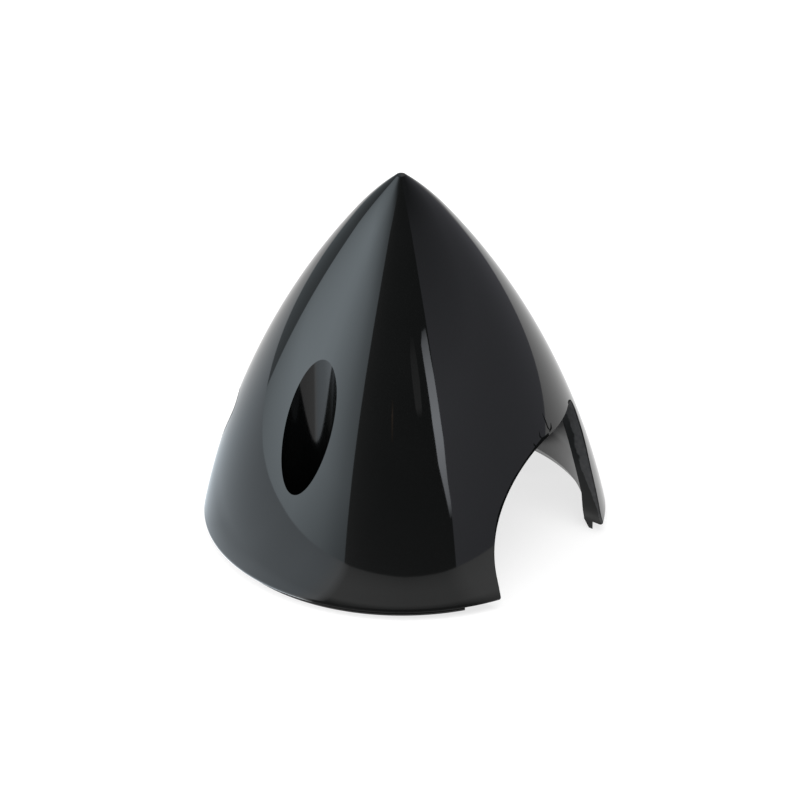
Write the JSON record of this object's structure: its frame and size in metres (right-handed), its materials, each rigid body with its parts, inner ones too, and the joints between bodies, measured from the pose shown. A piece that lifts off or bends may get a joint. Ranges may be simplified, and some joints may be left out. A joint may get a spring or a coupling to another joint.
{
  "type": "propeller spinner",
  "caption": "Pointed ogive spinner cone in gloss black plastic, with an arched blade opening on each side, screw wells and a register lip.",
  "frame": {"origin": "on the propeller axis, in the plane of the register lip's lower edge, on which the cone stands", "axes": "+Z along the propeller axis towards the nose, +X along the blade axis, +Y through the screw wells"},
  "size_m": [0.0466, 0.0508, 0.049],
  "materials": {
    "black_plastic": "gloss"
  },
  "bodies": {
    "root": {"spinner_cone": "black_plastic"}
  },
  "joints": []
}
